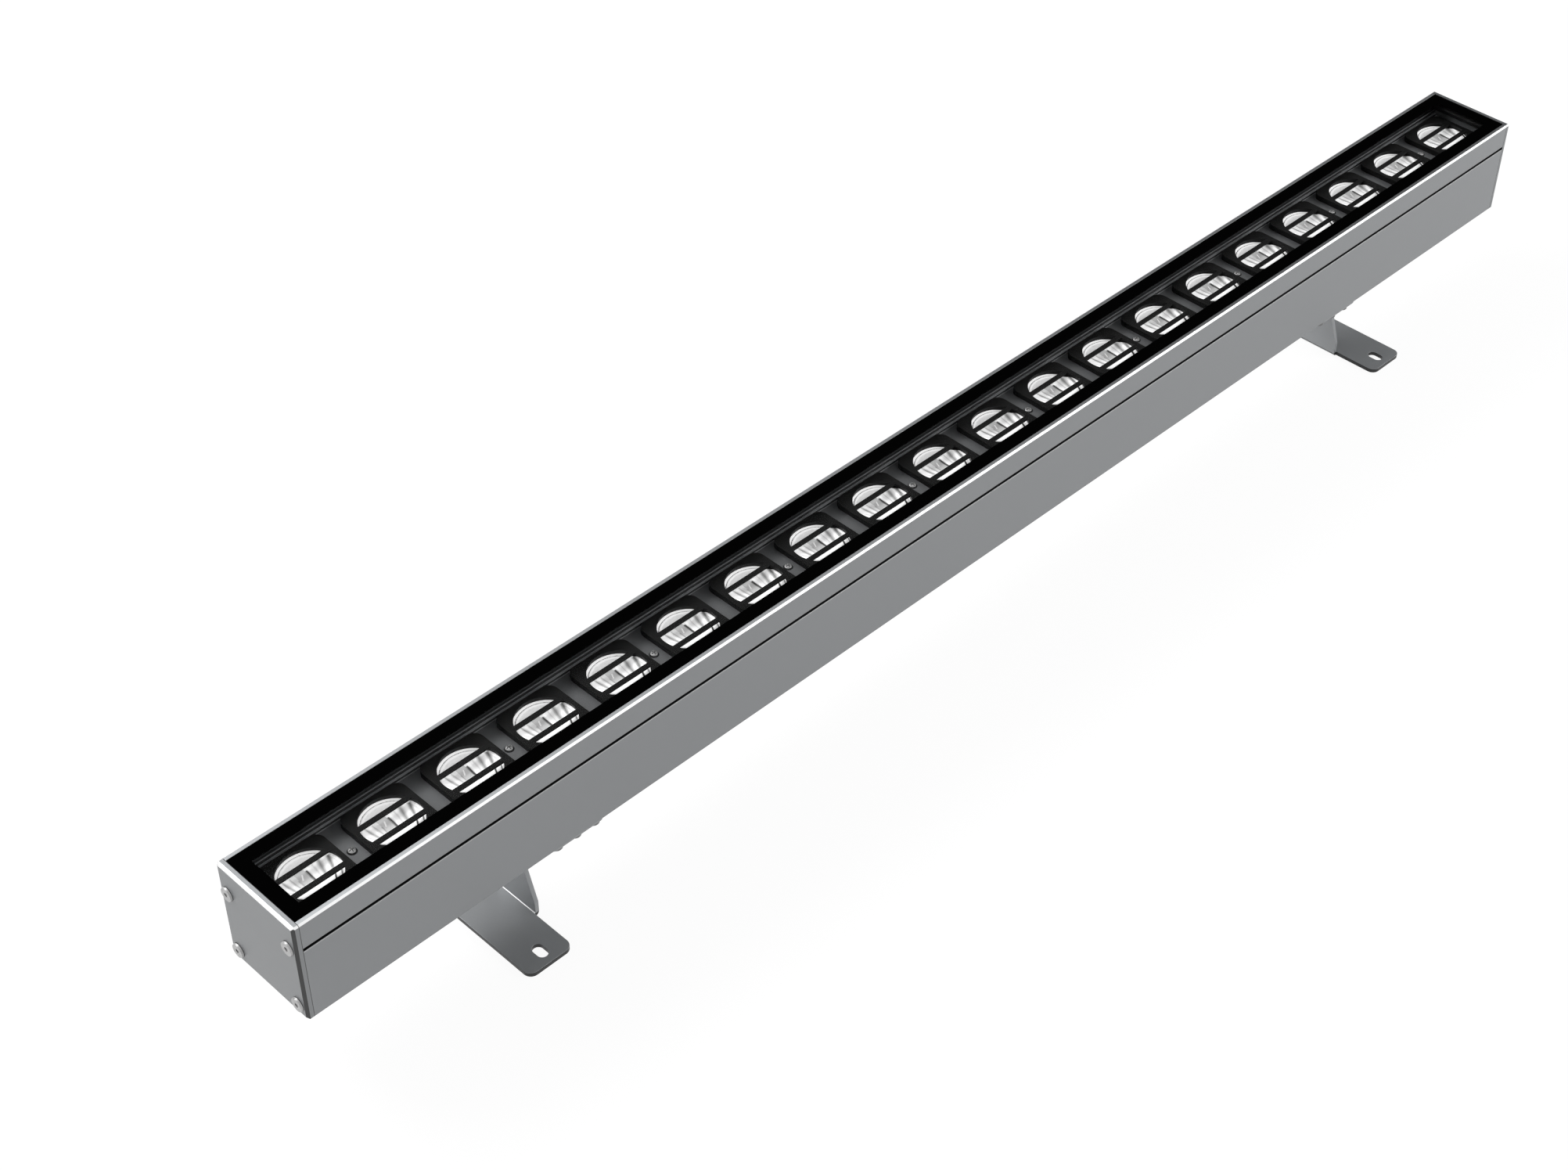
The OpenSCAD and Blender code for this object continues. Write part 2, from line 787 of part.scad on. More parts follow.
module driver_case() {
    color("#a9abad")
        difference() {
            driver_at(0)
                difference() {
                    block([driver_l, driver_w, driver_h], 0);
                    block([driver_l - 2 * driver_wall, driver_w - 2 * driver_wall, driver_h], driver_wall);
                }
            on_housing()
                translate([0, 0, lead_z]) {
                    for (y = supply_ys)
                        translate([0, y, 0])
                            rod_x(driver_left_x - over, driver_wall + 2 * over, lead_r + fit);
                    for (y = output_ys)
                        translate([driver_right_x, y, 0])
                            rod_x(-driver_wall - over, driver_wall + 2 * over, lead_r + fit);
                }
        }
}

module driver_lid() {
    color("#b3b5b7")
        driver_at(driver_h) {
            block([driver_l, driver_w, driver_wall], 0);
            inset = driver_wall + loose;
            block([driver_l - 2 * inset, driver_w - 2 * inset, driver_wall], -driver_wall);
        }
}

// The driver's circuit board with its two plugs, transformer, choke and capacitors
module driver_board() {
    room_l = driver_l - 2 * driver_wall;
    room_w = driver_w - 2 * driver_wall;
    board_z = driver_wall + driver_board_lift;
    part_z = board_z + board_t;
    part_h = driver_h - driver_wall - driver_part_gap - part_z;
    plug_share = 0.08;
    post_shares = [0.44, 0.4];
    // Place along the board, length and width of each block
    block_shares = [[-0.1, 0.22, 0.7], [0.14, 0.12, 0.55]];
    // Place along and across the board and radius of each can
    can_shares = [[-0.29, -0.22, 0.18], [-0.29, 0.22, 0.18], [0.3, 0, 0.2]];
    color("#2f6b45")
        driver_at(0) {
            block([room_l - 2 * loose, room_w - 2 * loose, board_t], board_z);
            for (sx = [-1, 1], sy = [-1, 1])
                translate([sx * room_l * post_shares[0], sy * room_w * post_shares[1], driver_wall])
                    cylinder(r = lead_r, h = driver_board_lift);
            for (s = [-1, 1])
                translate([s * (room_l * (1 - plug_share) / 2 - 2 * driver_wall), 0, 0])
                    block([room_l * plug_share, 3 * lead_pitch, part_h], part_z);
            for (b = block_shares)
                translate([room_l * b[0], 0, 0])
                    block([room_l * b[1], room_w * b[2], part_h], part_z);
            for (c = can_shares)
                translate([room_l * c[0], room_w * c[1], part_z])
                    cylinder(r = room_w * c[2], h = part_h);
        }
}

module terminal_block() {
    color("#3a3b3d")
        on_housing()
            difference() {
                translate([terminal_right_x - terminal_l / 2, 0, 0])
                    block([terminal_l, terminal_w, terminal_h], floor_t);
                for (y = supply_ys)
                    translate([terminal_right_x - terminal_l / 2, y, floor_t + terminal_h / 2])
                        cylinder(r = lead_r * 1.5, h = terminal_h);
                translate([0, 0, lead_z])
                    for (y = supply_ys)
                        translate([0, y, 0])
                            rod_x(terminal_right_x - terminal_l / 4, terminal_l, lead_r + fit);
            }
}

module supply_leads() {
    plug_x = driver_left_x + 3 * driver_wall;
    start_x = terminal_right_x - terminal_l / 4;
    color("#8b4a2b")
        on_housing()
            translate([0, 0, lead_z])
                for (y = supply_ys)
                    translate([0, y, 0])
                        rod_x(start_x, plug_x - start_x, lead_r);
}

// The output leads leave the driver, bend up through the web and end in the second light board
module output_leads() {
    plug_x = driver_right_x - 3 * driver_wall;
    bend_x = lead_x - output_bend_r;
    color("#b23a32")
        on_housing()
            for (y = output_ys)
                translate([0, y, lead_z]) {
                    rod_x(plug_x, bend_x - plug_x, lead_r);
                    translate([bend_x, 0, output_bend_r])
                        rotate([90, 0, 0])
                            rotate([0, 0, -90])
                                rotate_extrude(angle = 90)
                                    translate([output_bend_r, 0])
                                        circle(lead_r);
                    translate([lead_x, 0, output_bend_r])
                        cylinder(r = lead_r, h = board_top_z + lead_r - lead_z - output_bend_r);
                }
}

module gland_at() {
    on_housing()
        translate([gland_x, 0, 0])
            children();
}

module cable_gland() {
    inner_r = gland_r - gland_wall;
    outside_h = gland_collar_h + gland_spigot_l;
    color("#2a2b2d")
        gland_at()
            difference() {
                union() {
                    translate([0, 0, -gland_collar_h])
                        cylinder(r = hex_r(gland_hex_w), h = gland_collar_h, $fn = 6);
                    translate([0, 0, -gland_collar_h / 2])
                        cylinder(r = gland_r, h = gland_collar_h / 2 + floor_t + locknut_h + loose);
                    translate([0, 0, -gland_collar_h - gland_spigot_l])
                        cylinder(r = gland_r, h = gland_spigot_l + gland_collar_h / 2);
                }
                translate([0, 0, -outside_h - over])
                    cylinder(r = inner_r, h = outside_h + floor_t + locknut_h + 3 * over);
            }
}

// The rubber sleeve that grips the cable, with a lip under the spigot
module gland_seal() {
    inner_r = gland_r - gland_wall;
    lip_h = gland_wall / 2;
    color("#161618")
        gland_at()
            difference() {
                union() {
                    translate([0, 0, -gland_collar_h - gland_spigot_l])
                        cylinder(r = inner_r - fit, h = gland_spigot_l);
                    translate([0, 0, -gland_collar_h - gland_spigot_l - lip_h])
                        cylinder(r = gland_r - fit, h = lip_h);
                }
                translate([0, 0, -gland_collar_h - gland_spigot_l - lip_h - over])
                    cylinder(r = cable_r, h = gland_spigot_l + lip_h + 2 * over);
            }
}

module gland_nut() {
    lip_h = gland_wall / 2;
    nut_low_z = -gland_collar_h - gland_spigot_l - lip_h;
    nut_h = -gland_collar_h - lip_h - nut_low_z;
    flat_r = gland_hex_w / 2;
    color("#303133")
        gland_at()
            difference() {
                union() {
                    translate([0, 0, nut_low_z])
                        cylinder(r = hex_r(gland_hex_w), h = nut_h, $fn = 6);
                    translate([0, 0, nut_low_z - gland_dome_h])
                        cylinder(r1 = flat_r - gland_wall, r2 = flat_r, h = gland_dome_h);
                }
                translate([0, 0, nut_low_z])
                    cylinder(r = gland_r + fit, h = nut_h + over);
                translate([0, 0, nut_low_z - gland_dome_h - over])
                    cylinder(r = cable_r + fit, h = gland_dome_h + 2 * over);
            }
}

module gland_locknut() {
    color("#303133")
        gland_at()
            difference() {
                translate([0, 0, floor_t])
                    cylinder(r = hex_r(gland_hex_w), h = locknut_h, $fn = 6);
                translate([0, 0, floor_t - over])
                    cylinder(r = gland_r + fit, h = locknut_h + 2 * over);
            }
}

// The breather plug lets the sealed bar equalise its pressure, at the end away from the cable
module breather_plug() {
    color("#2a2b2d")
        on_housing()
            translate([-gland_x, 0, 0])
                difference() {
                    union() {
                        translate([0, 0, -breather_head_h])
                            cylinder(r = hex_r(breather_hex_w), h = breather_head_h, $fn = 6);
                        translate([0, 0, -breather_head_h])
                            mirror([0, 0, 1])
                                cylinder(r1 = breather_r, r2 = breather_r * 0.8, h = breather_head_h / 2);
                        translate([0, 0, -breather_head_h / 2])
                            cylinder(r = breather_r, h = breather_head_h / 2 + 2 * floor_t);
                    }
                    translate([0, 0, -breather_head_h])
                        cylinder(r = breather_r / 2, h = breather_head_h + 2 * floor_t + over);
                }
}

// The outline of an ear with its pivot at the origin and its bend edge below, in Y and Z
module ear_outline(half_w, straight, reach, tip_r) {
    taper = reach - straight;
    lean = atan2(-taper, half_w) + acos(tip_r / norm([half_w, taper]));
    touch = [tip_r * cos(lean), tip_r * sin(lean)];
    polygon([
        [-half_w, -reach], [half_w, -reach], [half_w, -taper],
        touch, [-touch[0], touch[1]], [-half_w, -taper]
    ]);
    circle(tip_r);
}

// A quarter bend of the sheet along Y, from the ear on the left down to the plate
module sheet_bend(w) {
    rotate([90, 0, 0])
        translate([0, 0, -w / 2])
            rotate([0, 0, 180])
                rotate_extrude(angle = 90)
                    translate([bend_r, 0])
                        square([sheet_t, w]);
}

module slot_cut() {
    reach = (slot_l - slot_w) / 2;
    for (s = [-1, 1])
        translate([0, s * reach, -over])
            cylinder(r = slot_w / 2, h = sheet_t + 2 * over);
    translate([-slot_w / 2, -reach, -over])
        cube([slot_w, 2 * reach, sheet_t + 2 * over]);
}

// The right foot: a slotted plate with one ear turned up on its inner side
module foot() {
    plate_l = foot_outer_x - plate_in_x;
    ear_low_z = sheet_t + bend_r;
    color("#6a6c6f")
        difference() {
            union() {
                translate([(foot_outer_x + plate_in_x) / 2, 0, 0])
                    linear_extrude(sheet_t)
                        rounded_rect(plate_l, foot_l, foot_round);
                translate([plate_in_x, -ear_half_w, 0])
                    cube([foot_round, 2 * ear_half_w, sheet_t]);
                translate([plate_in_x, 0, ear_low_z])
                    sheet_bend(2 * ear_half_w);
                translate([(ear_in_x + ear_out_x) / 2, 0, pivot_z])
                    along_x(sheet_t)
                        ear_outline(ear_half_w, ear_straight, pivot_z - ear_low_z, ear_r);
            }
            for (s = [-1, 1])
                translate([foot_span / 2, s * slot_span / 2, 0])
                    slot_cut();
            translate([0, 0, pivot_z])
                rod_x(ear_in_x - over, sheet_t + 2 * over, pivot_r + fit);
        }
}

// The right hanger: a flange under the housing with one ear turned down beside the foot's ear
module hanger() {
    flange_l = hanger_flange_x - hanger_in_x;
    color("#66686b")
        difference() {
            union() {
                on_housing()
                    translate([(hanger_flange_x + hanger_in_x) / 2, 0, -sheet_t])
                        linear_extrude(sheet_t)
                            rounded_rect(flange_l, hanger_w, hanger_round);
                on_housing()
                    translate([hanger_flange_x - hanger_round, -hanger_ear_half_w, -sheet_t])
                        cube([hanger_round, 2 * hanger_ear_half_w, sheet_t]);
                on_housing()
                    translate([hanger_flange_x, 0, -sheet_t - bend_r])
                        rotate([0, 180, 0])
                            sheet_bend(2 * hanger_ear_half_w);
                translate([(hanger_ear_in_x + hanger_ear_out_x) / 2, 0, pivot_z])
                    along_x(sheet_t)
                        mirror([0, 1])
                            ear_outline(hanger_ear_half_w, hanger_ear_straight,
                                        pivot_drop - sheet_t - bend_r, ear_r);
            }
            on_housing()
                at_hanger_screws()
                    translate([0, 0, -sheet_t - over])
                        cylinder(r = hanger_screw_r + fit, h = sheet_t + 2 * over);
            translate([0, 0, pivot_z])
                rod_x(hanger_ear_in_x - over, sheet_t + 2 * over, pivot_r + fit);
        }
}

module hanger_screws() {
    color("#b4b6b8")
        both_ends()
            on_housing()
                at_hanger_screws()
                    translate([0, 0, -sheet_t])
                        difference() {
                            union() {
                                translate([0, 0, -hanger_head_h])
                                    cylinder(r = hanger_head_r, h = hanger_head_h);
                                cylinder(r = hanger_screw_r, h = sheet_t + hanger_screw_reach - loose);
                            }
                            translate([0, 0, -hanger_head_h - over])
                                cylinder(r = hex_r(hanger_socket_w), h = hanger_head_h / 2 + over, $fn = 6);
                        }
}

module pivot_bolt() {
    head_x = ear_out_x + washer_t;
    tip_x = hanger_ear_in_x - washer_t - pivot_nut_h - washer_t;
    rod_x(tip_x, head_x - tip_x + pivot_head_h / 2, pivot_r);
    translate([head_x, 0, 0])
        rotate([0, 90, 0])
            cylinder(r = hex_r(pivot_hex_w), h = pivot_head_h, $fn = 6);
}

module pivot_bolts() {
    color("#b9bbbd")
        both_ends()
            translate([0, 0, pivot_z])
                pivot_bolt();
}

module washer(x, t, r) {
    difference() {
        rod_x(x, t, r);
        rod_x(x - over, t + 2 * over, pivot_r + fit);
    }
}

module pivot_washers() {
    color("#c3c5c7")
        both_ends()
            translate([0, 0, pivot_z]) {
                washer(ear_out_x, washer_t, washer_r);
                washer(hanger_ear_out_x, friction_t, friction_r);
                washer(hanger_ear_in_x - washer_t, washer_t, washer_r);
            }
}

module pivot_nuts() {
    nut_x = hanger_ear_in_x - washer_t - pivot_nut_h;
    color("#b9bbbd")
        both_ends()
            translate([nut_x, 0, pivot_z])
                rotate([0, 90, 0])
                    difference() {
                        cylinder(r = hex_r(pivot_hex_w), h = pivot_nut_h, $fn = 6);
                        translate([0, 0, -over])
                            cylinder(r = pivot_r + fit, h = pivot_nut_h + 2 * over);
                    }
}

housing();
mirror([1, 0, 0]) end_cap();  // end_cap_left
end_cap();  // end_cap_right
mirror([1, 0, 0]) end_gasket();  // end_gasket_left
end_gasket();  // end_gasket_right
end_cap_screws();
glass_cover();
glass_border();
glass_gasket();
chassis_plate();
chassis_screws();
chassis_spacers();
lens_holders();
for (i = [0 : optic_count - 1])
    lens(i);
for (j = [0 : board_count - 1])
    led_board(j);
led_chips();
board_links();
driver_pad();
driver_case();
driver_lid();
driver_board();
terminal_block();
supply_leads();
output_leads();
cable_gland();
gland_seal();
gland_nut();
gland_locknut();
breather_plug();
mirror([1, 0, 0]) hanger();  // hanger_left
hanger();  // hanger_right
hanger_screws();
mirror([1, 0, 0]) foot();  // foot_left
foot();  // foot_right
pivot_bolts();
pivot_washers();
pivot_nuts();
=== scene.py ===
import math

import bmesh
import bpy
from mathutils import Matrix, Vector


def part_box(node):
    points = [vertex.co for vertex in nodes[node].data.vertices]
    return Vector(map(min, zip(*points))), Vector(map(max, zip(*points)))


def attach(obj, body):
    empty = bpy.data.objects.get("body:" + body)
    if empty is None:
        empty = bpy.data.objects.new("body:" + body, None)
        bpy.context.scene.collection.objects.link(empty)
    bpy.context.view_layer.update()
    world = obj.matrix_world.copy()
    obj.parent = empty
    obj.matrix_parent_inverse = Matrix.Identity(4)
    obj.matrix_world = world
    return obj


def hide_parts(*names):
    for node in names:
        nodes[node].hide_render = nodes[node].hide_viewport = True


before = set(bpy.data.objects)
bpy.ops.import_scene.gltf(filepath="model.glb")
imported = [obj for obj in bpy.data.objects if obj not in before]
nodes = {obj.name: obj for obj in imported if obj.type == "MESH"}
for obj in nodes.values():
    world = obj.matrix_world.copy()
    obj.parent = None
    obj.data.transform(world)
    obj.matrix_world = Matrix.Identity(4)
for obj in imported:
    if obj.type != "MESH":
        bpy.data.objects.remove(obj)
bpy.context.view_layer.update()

# The camera stands high off the left end of the bar, on its front side, and looks down along it
# with a lens a little longer than normal.
camera_place = Vector((-0.8998, -0.7451, 1.0270))
camera_azimuth = math.radians(-45.1438)
camera_elevation = math.radians(41.395)
camera_roll = math.radians(0.3249)
camera_lens = 59.587

camera_data = bpy.data.cameras.new("camera")
camera_data.lens = camera_lens
camera_data.sensor_width = 36
camera_data.clip_start = 0.01
camera_data.clip_end = 60
camera = bpy.data.objects.new("camera", camera_data)
bpy.context.collection.objects.link(camera)
back = Vector((
    math.sin(camera_azimuth) * math.cos(camera_elevation),
    -math.cos(camera_azimuth) * math.cos(camera_elevation),
    math.sin(camera_elevation),
))
side = Vector((0, 0, 1)).cross(back).normalized()
upward = back.cross(side)
right = side * math.cos(camera_roll) + upward * math.sin(camera_roll)
above = upward * math.cos(camera_roll) - side * math.sin(camera_roll)
camera_turn = Matrix((right, above, back)).transposed().to_4x4()
camera.matrix_world = Matrix.Translation(camera_place) @ camera_turn
bpy.context.scene.camera = camera
bpy.context.scene.view_settings.view_transform = "Standard"


# The studio is a plain pale floor under a white surround, with a dark screen behind the bar that
# only shows in reflections. Large soft lamps stand round it, and the floor keeps a light shadow.
class Wire:
    """One output of a shader node. Sums and products of wires add their own Math nodes."""

    def __init__(self, shader, socket):
        self.shader = shader
        self.socket = socket

    def math(self, operation, *values):
        sockets = dict(enumerate((self, *values)))
        return self.shader.node("ShaderNodeMath", {"operation": operation}, sockets)

    def __add__(self, other):
        return self.math("ADD", other)

    def __mul__(self, other):
        return self.math("MULTIPLY", other)

    def __sub__(self, other):
        return self.math("SUBTRACT", other)

    def __truediv__(self, other):
        return self.math("DIVIDE", other)

    def __rsub__(self, other):
        return (self * -1) + other

    __radd__ = __add__
    __rmul__ = __mul__

    def __abs__(self):
        return self.math("ABSOLUTE")

    def limited(self):
        """The value held between 0 and 1."""
        return self.shader.node("ShaderNodeClamp", {}, {"Value": self})

    def above(self, edge, soft):
        """0 below the edge, rising to 1 over the soft width past it."""
        return ((self - edge) / soft).limited()


class Shader:
    """The node tree of one material or world."""

    def __init__(self, tree):
        self.tree = tree
        self.tree.nodes.clear()

    def node(self, kind, settings, sockets, out=0):
        made = self.tree.nodes.new(kind)
        for name, value in settings.items():
            setattr(made, name, value)
        for key, value in sockets.items():
            if isinstance(value, Wire):
                self.tree.links.new(value.socket, made.inputs[key])
            else:
                made.inputs[key].default_value = value
        return Wire(self, made.outputs[out]) if made.outputs else made

    def blend(self, factor, first, second):
        """A colour that goes from the first to the second as the factor goes from 0 to 1."""
        settings = {"data_type": "RGBA"}
        return self.node("ShaderNodeMix", settings, {0: factor, 6: first, 7: second}, out=2)

    def rays(self, *names):
        """1 for rays of these kinds."""
        kinds = [self.node("ShaderNodeLightPath", {}, {}, out=name) for name in names]
        return sum(kinds, start=0).limited()


def grey(level, warm=0.0):
    """A linear colour from an sRGB level of 0 to 255, a little warmer or cooler."""
    share = level / 255
    linear = ((share + 0.055) / 1.055) ** 2.4 if share > 0.04 else share / 12.92
    return (linear * (1 + warm), linear, linear * (1 - warm), 1)


white = (1, 1, 1, 1)
surround_fill = 0.42
screen_level = 0.04
screen_side_edge = -0.05
screen_side_soft = 0.35
screen_foot_edge = 0.02
screen_foot_soft = 0.2
screen_top_edge = 0.5
screen_top_soft = 0.3

world = bpy.data.worlds.new("surround")
world.use_nodes = True
bpy.context.scene.world = world
sky = Shader(world.node_tree)
way = {"Vector": sky.node("ShaderNodeTexCoord", {}, {}, out="Generated")}
rearward = sky.node("ShaderNodeSeparateXYZ", {}, way, out="Y")
skyward = sky.node("ShaderNodeSeparateXYZ", {}, way, out="Z")
screen = rearward.above(screen_side_edge, screen_side_soft)
screen = screen * skyward.above(screen_foot_edge, screen_foot_soft)
screen = screen * (1 - skyward.above(screen_top_edge, screen_top_soft))
mirrored = 1 - screen * (1 - screen_level)
sky_level = (sky.rays("Is Camera Ray", "Is Transmission Ray") * (1 - surround_fill)
             + sky.rays("Is Glossy Ray") * (mirrored - surround_fill) + surround_fill)
sky_light = sky.node("ShaderNodeBackground", {}, {"Color": white, "Strength": sky_level})
sky.node("ShaderNodeOutputWorld", {}, {"Surface": sky_light})

floor_half = 9.0
floor_drop = 0.0005
floor_colour = grey(246)
floor_glow = 1.03
floor_glow_share = 0.9

floor_mesh = bpy.data.meshes.new("floor")
floor_mesh.from_pydata(
    [(-floor_half, -floor_half, 0), (floor_half, -floor_half, 0),
     (floor_half, floor_half, 0), (-floor_half, floor_half, 0)],
    [], [(0, 1, 2, 3)])
floor = bpy.data.objects.new("floor", floor_mesh)
bpy.context.collection.objects.link(floor)
floor.location.z = -floor_drop
floor_paint = bpy.data.materials.new("pale_floor")
floor_paint.use_nodes = True
ground = Shader(floor_paint.node_tree)
ground_coat = ground.node(
    "ShaderNodeBsdfPrincipled", {},
    {"Base Color": floor_colour, "Roughness": 0.9, "Specular IOR Level": 0.1})
ground_glow = ground.node("ShaderNodeEmission", {}, {"Color": white, "Strength": floor_glow})
seen = ground.rays("Is Camera Ray", "Is Glossy Ray", "Is Transmission Ray")
ground_mix = ground.node(
    "ShaderNodeMixShader", {}, {0: seen * floor_glow_share, 1: ground_coat, 2: ground_glow})
ground.node("ShaderNodeOutputMaterial", {}, {"Surface": ground_mix})
floor_mesh.materials.append(floor_paint)


def soft_lamp(name, place, aim, length, width, power):
    """A large rectangular lamp that points from its place at the aim."""
    data = bpy.data.lights.new(name, "AREA")
    data.shape = "RECTANGLE"
    data.size = length
    data.size_y = width
    data.energy = power
    lamp = bpy.data.objects.new(name, data)
    bpy.context.collection.objects.link(lamp)
    lamp.location = place
    lamp.rotation_euler = (Vector(aim) - Vector(place)).to_track_quat("-Z", "Y").to_euler()


bar_middle = (0, 0, 0.08)
bar_left = (-0.45, 0, 0.1)
soft_lamp("back_lamp", place=(-0.80, 1.35, 1.65), aim=bar_middle, length=1.3, width=0.8, power=30)
soft_lamp("front_lamp", place=(1.15, -1.25, 1.05), aim=bar_middle, length=1.6, width=0.6, power=15)
soft_lamp("end_lamp", place=(-1.75, 0.85, 1.0), aim=bar_left, length=0.7, width=0.7, power=5)

# The housing is a long aluminium extrusion in a smooth grey coat, with one thin groove along each side.
# It carries every other piece. Its colour holds painted shade in the groove and on the inner walls
# under the glass, a painted highlight under the groove and on the chamfer along the rim, and a painted
# reflection on the rim that darkens toward the right.
cool = -0.03
tone_span = 0.5
wear_gain = 6
patch_gain = 0.8
patch_base = 0.6
rough_blotch = 0.12
rough_grain = 0.06
grain_h = 0.0002


def coated(name, colour, metallic, roughness, **looks):
    """A worn, slightly uneven finish: blotches, fine grain and brighter edges over one colour."""
    look = {"blotch": 0.03, "blotch_scale": 14.0, "grain": 0.03, "grain_scale": 1800.0,
            "edge": 0.35, "edge_colour": grey(215), "edge_width": 0.0005, "bump": 0.03,
            "specular": 0.5, "coat": 0.0}
    look.update(looks)
    material = bpy.data.materials.new(name)
    material.use_nodes = True
    shader = Shader(material.node_tree)
    place = shader.node("ShaderNodeTexCoord", {}, {}, out="Object")
    blotch = shader.node("ShaderNodeTexNoise", {}, {"Vector": place, "Scale": look["blotch_scale"],
                                                    "Detail": 3.0})
    grain = shader.node("ShaderNodeTexNoise", {}, {"Vector": place, "Scale": look["grain_scale"],
                                                   "Detail": 2.0})
    shade = (blotch - 0.5) * look["blotch"] * 2 + (grain - 0.5) * look["grain"] * 2
    darker = tuple(part * (1 - tone_span) for part in colour[:3]) + (1,)
    lighter = tuple(min(part * (1 + tone_span), 1) for part in colour[:3]) + (1,)
    body = shader.blend((shade + 0.5).limited(), darker, lighter)
    rounded = shader.node("ShaderNodeBevel", {"samples": 4}, {"Radius": look["edge_width"]})
    plain = shader.node("ShaderNodeNewGeometry", {}, {}, out="Normal")
    likeness = shader.node("ShaderNodeVectorMath", {"operation": "DOT_PRODUCT"},
                           {0: rounded, 1: plain}, out="Value")
    wear = ((1 - likeness) * wear_gain).limited() * (blotch * patch_gain + patch_base)
    tint = shader.blend((wear * look["edge"]).limited(), body, look["edge_colour"])
    rough = roughness + (blotch - 0.5) * rough_blotch + (grain - 0.5) * rough_grain
    bumped = shader.node("ShaderNodeBump", {}, {"Strength": look["bump"], "Distance": grain_h,
                                                "Height": grain, "Normal": rounded})
    shader.tint = tint
    shader.surface = {"Base Color": tint, "Roughness": rough, "Normal": bumped,
                      "Metallic": metallic, "Specular IOR Level": look["specular"],
                      "Coat Weight": look["coat"]}
    shader.material = material
    shader.place = place
    return shader


def close(shader):
    """Joins the finish to the material's output."""
    coat = shader.node("ShaderNodeBsdfPrincipled", {}, shader.surface)
    shader.node("ShaderNodeOutputMaterial", {}, {"Surface": coat})
    return shader.material


def dress(material, *names):
    """Gives these CAD nodes the material in all their slots."""
    for name in names:
        for held in nodes[name].material_slots:
            held.material = material


def at(shader, axis):
    """How far the point lies along this axis, in metres."""
    return shader.node("ShaderNodeSeparateXYZ", {}, {"Vector": shader.place}, out=axis)


def facing(shader, axis):
    """How squarely the surface faces along this axis either way, from 0 to 1."""
    normal = shader.node("ShaderNodeTexCoord", {}, {}, out="Normal")
    return abs(shader.node("ShaderNodeSeparateXYZ", {}, {"Vector": normal}, out=axis))


housing_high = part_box("housing")[1]
skin = 0.0001
groove_drop = 0.0183
groove_h = 0.0022
groove_low_z = housing_high.z - groove_drop
groove_high_z = groove_low_z + groove_h
groove_skin = 0.0003
lip_highlight_h = 0.0006
lip_highlight_share = 0.4
rim_h = 0.001
chamfer_h = 0.003
rim_soft = 0.0005
flat = 0.9
slanted = 0.4
facing_soft = 0.05
chamfer_highlight_share = 0.9
rim_left_x = -0.5
rim_fade_l = 0.66
rim_half_soft = 0.001
rim_w = 0.0034
wall_soft = 0.0003
inner_shade_h = 0.03
inner_shade_soft = 0.001

paint = coated("grey_coat", grey(137, cool), 0.4, 0.36, edge_colour=grey(210), edge=0.2)
along = at(paint, "X")
across = at(paint, "Y")
height = at(paint, "Z")
upright = facing(paint, "Z")
# Painted shade darkens the inside of the groove.
groove_painted_shade = (housing_high.y - groove_skin - abs(across)).above(0, skin)
groove_painted_shade = groove_painted_shade * (height - groove_low_z).above(-skin, skin)
groove_painted_shade = groove_painted_shade * (groove_high_z - height).above(-skin, skin)
# A painted highlight lightens a thin strip just below the groove.
lip_painted_highlight = (groove_low_z - height).above(0, skin)
lip_painted_highlight = lip_painted_highlight * (height - groove_low_z + lip_highlight_h).above(0, 2 * skin)
over_rim = height - housing_high.z
on_rim = upright.above(flat, facing_soft) * over_rim.above(-rim_h, rim_soft)
# The chamfer along the rim carries a painted highlight.
chamfer_painted_highlight = (upright * facing(paint, "Y")).above(slanted, facing_soft)
chamfer_painted_highlight = chamfer_painted_highlight * over_rim.above(-chamfer_h, rim_soft)
# The rim's top carries a painted reflection, light at the left end and darker toward the right.
rim_reflection_fade = along.above(rim_left_x, rim_fade_l)
back_rim_painted_reflection = paint.blend(rim_reflection_fade, grey(184, cool), grey(115, cool))
front_rim_painted_reflection = paint.blend(rim_reflection_fade, grey(196, cool), grey(98, cool))
rim_painted_reflection = paint.blend(across.above(0, rim_half_soft), front_rim_painted_reflection, back_rim_painted_reflection)
# Painted shade darkens the inner walls under the glass.
inner_wall_painted_shade = (housing_high.y - rim_w - abs(across)).above(0, wall_soft)
inner_wall_painted_shade = inner_wall_painted_shade * (over_rim + inner_shade_h).above(0, inner_shade_soft)
tint = paint.blend(lip_painted_highlight * lip_highlight_share, paint.tint, grey(235))
tint = paint.blend(on_rim, tint, rim_painted_reflection)
tint = paint.blend(chamfer_painted_highlight * chamfer_highlight_share, tint, grey(250))
tint = paint.blend(inner_wall_painted_shade, tint, grey(18))
paint.surface["Base Color"] = paint.blend(groove_painted_shade, tint, grey(14))
dress(close(paint), "housing")

# The end caps are plates in the same coat, chamfered all round, that close the extrusion. Four low
# socket heads of plain steel hold each one over a rubber gasket. The other seals are the same rubber.
cap_fade_l = 1.0
cap_lap = 0.0004
corner_reflection_share = 0.9

cap_paint = coated("cap_coat", grey(131, cool), 0.4, 0.36, edge_colour=grey(210), edge=0.12)
along = at(cap_paint, "X")
lengthwise = facing(cap_paint, "X")
sideways = facing(cap_paint, "Y")
upright = facing(cap_paint, "Z")
# The cap's chamfers carry a painted highlight.
chamfer_painted_highlight = (upright * lengthwise.math("MAXIMUM", sideways)).above(slanted, facing_soft)
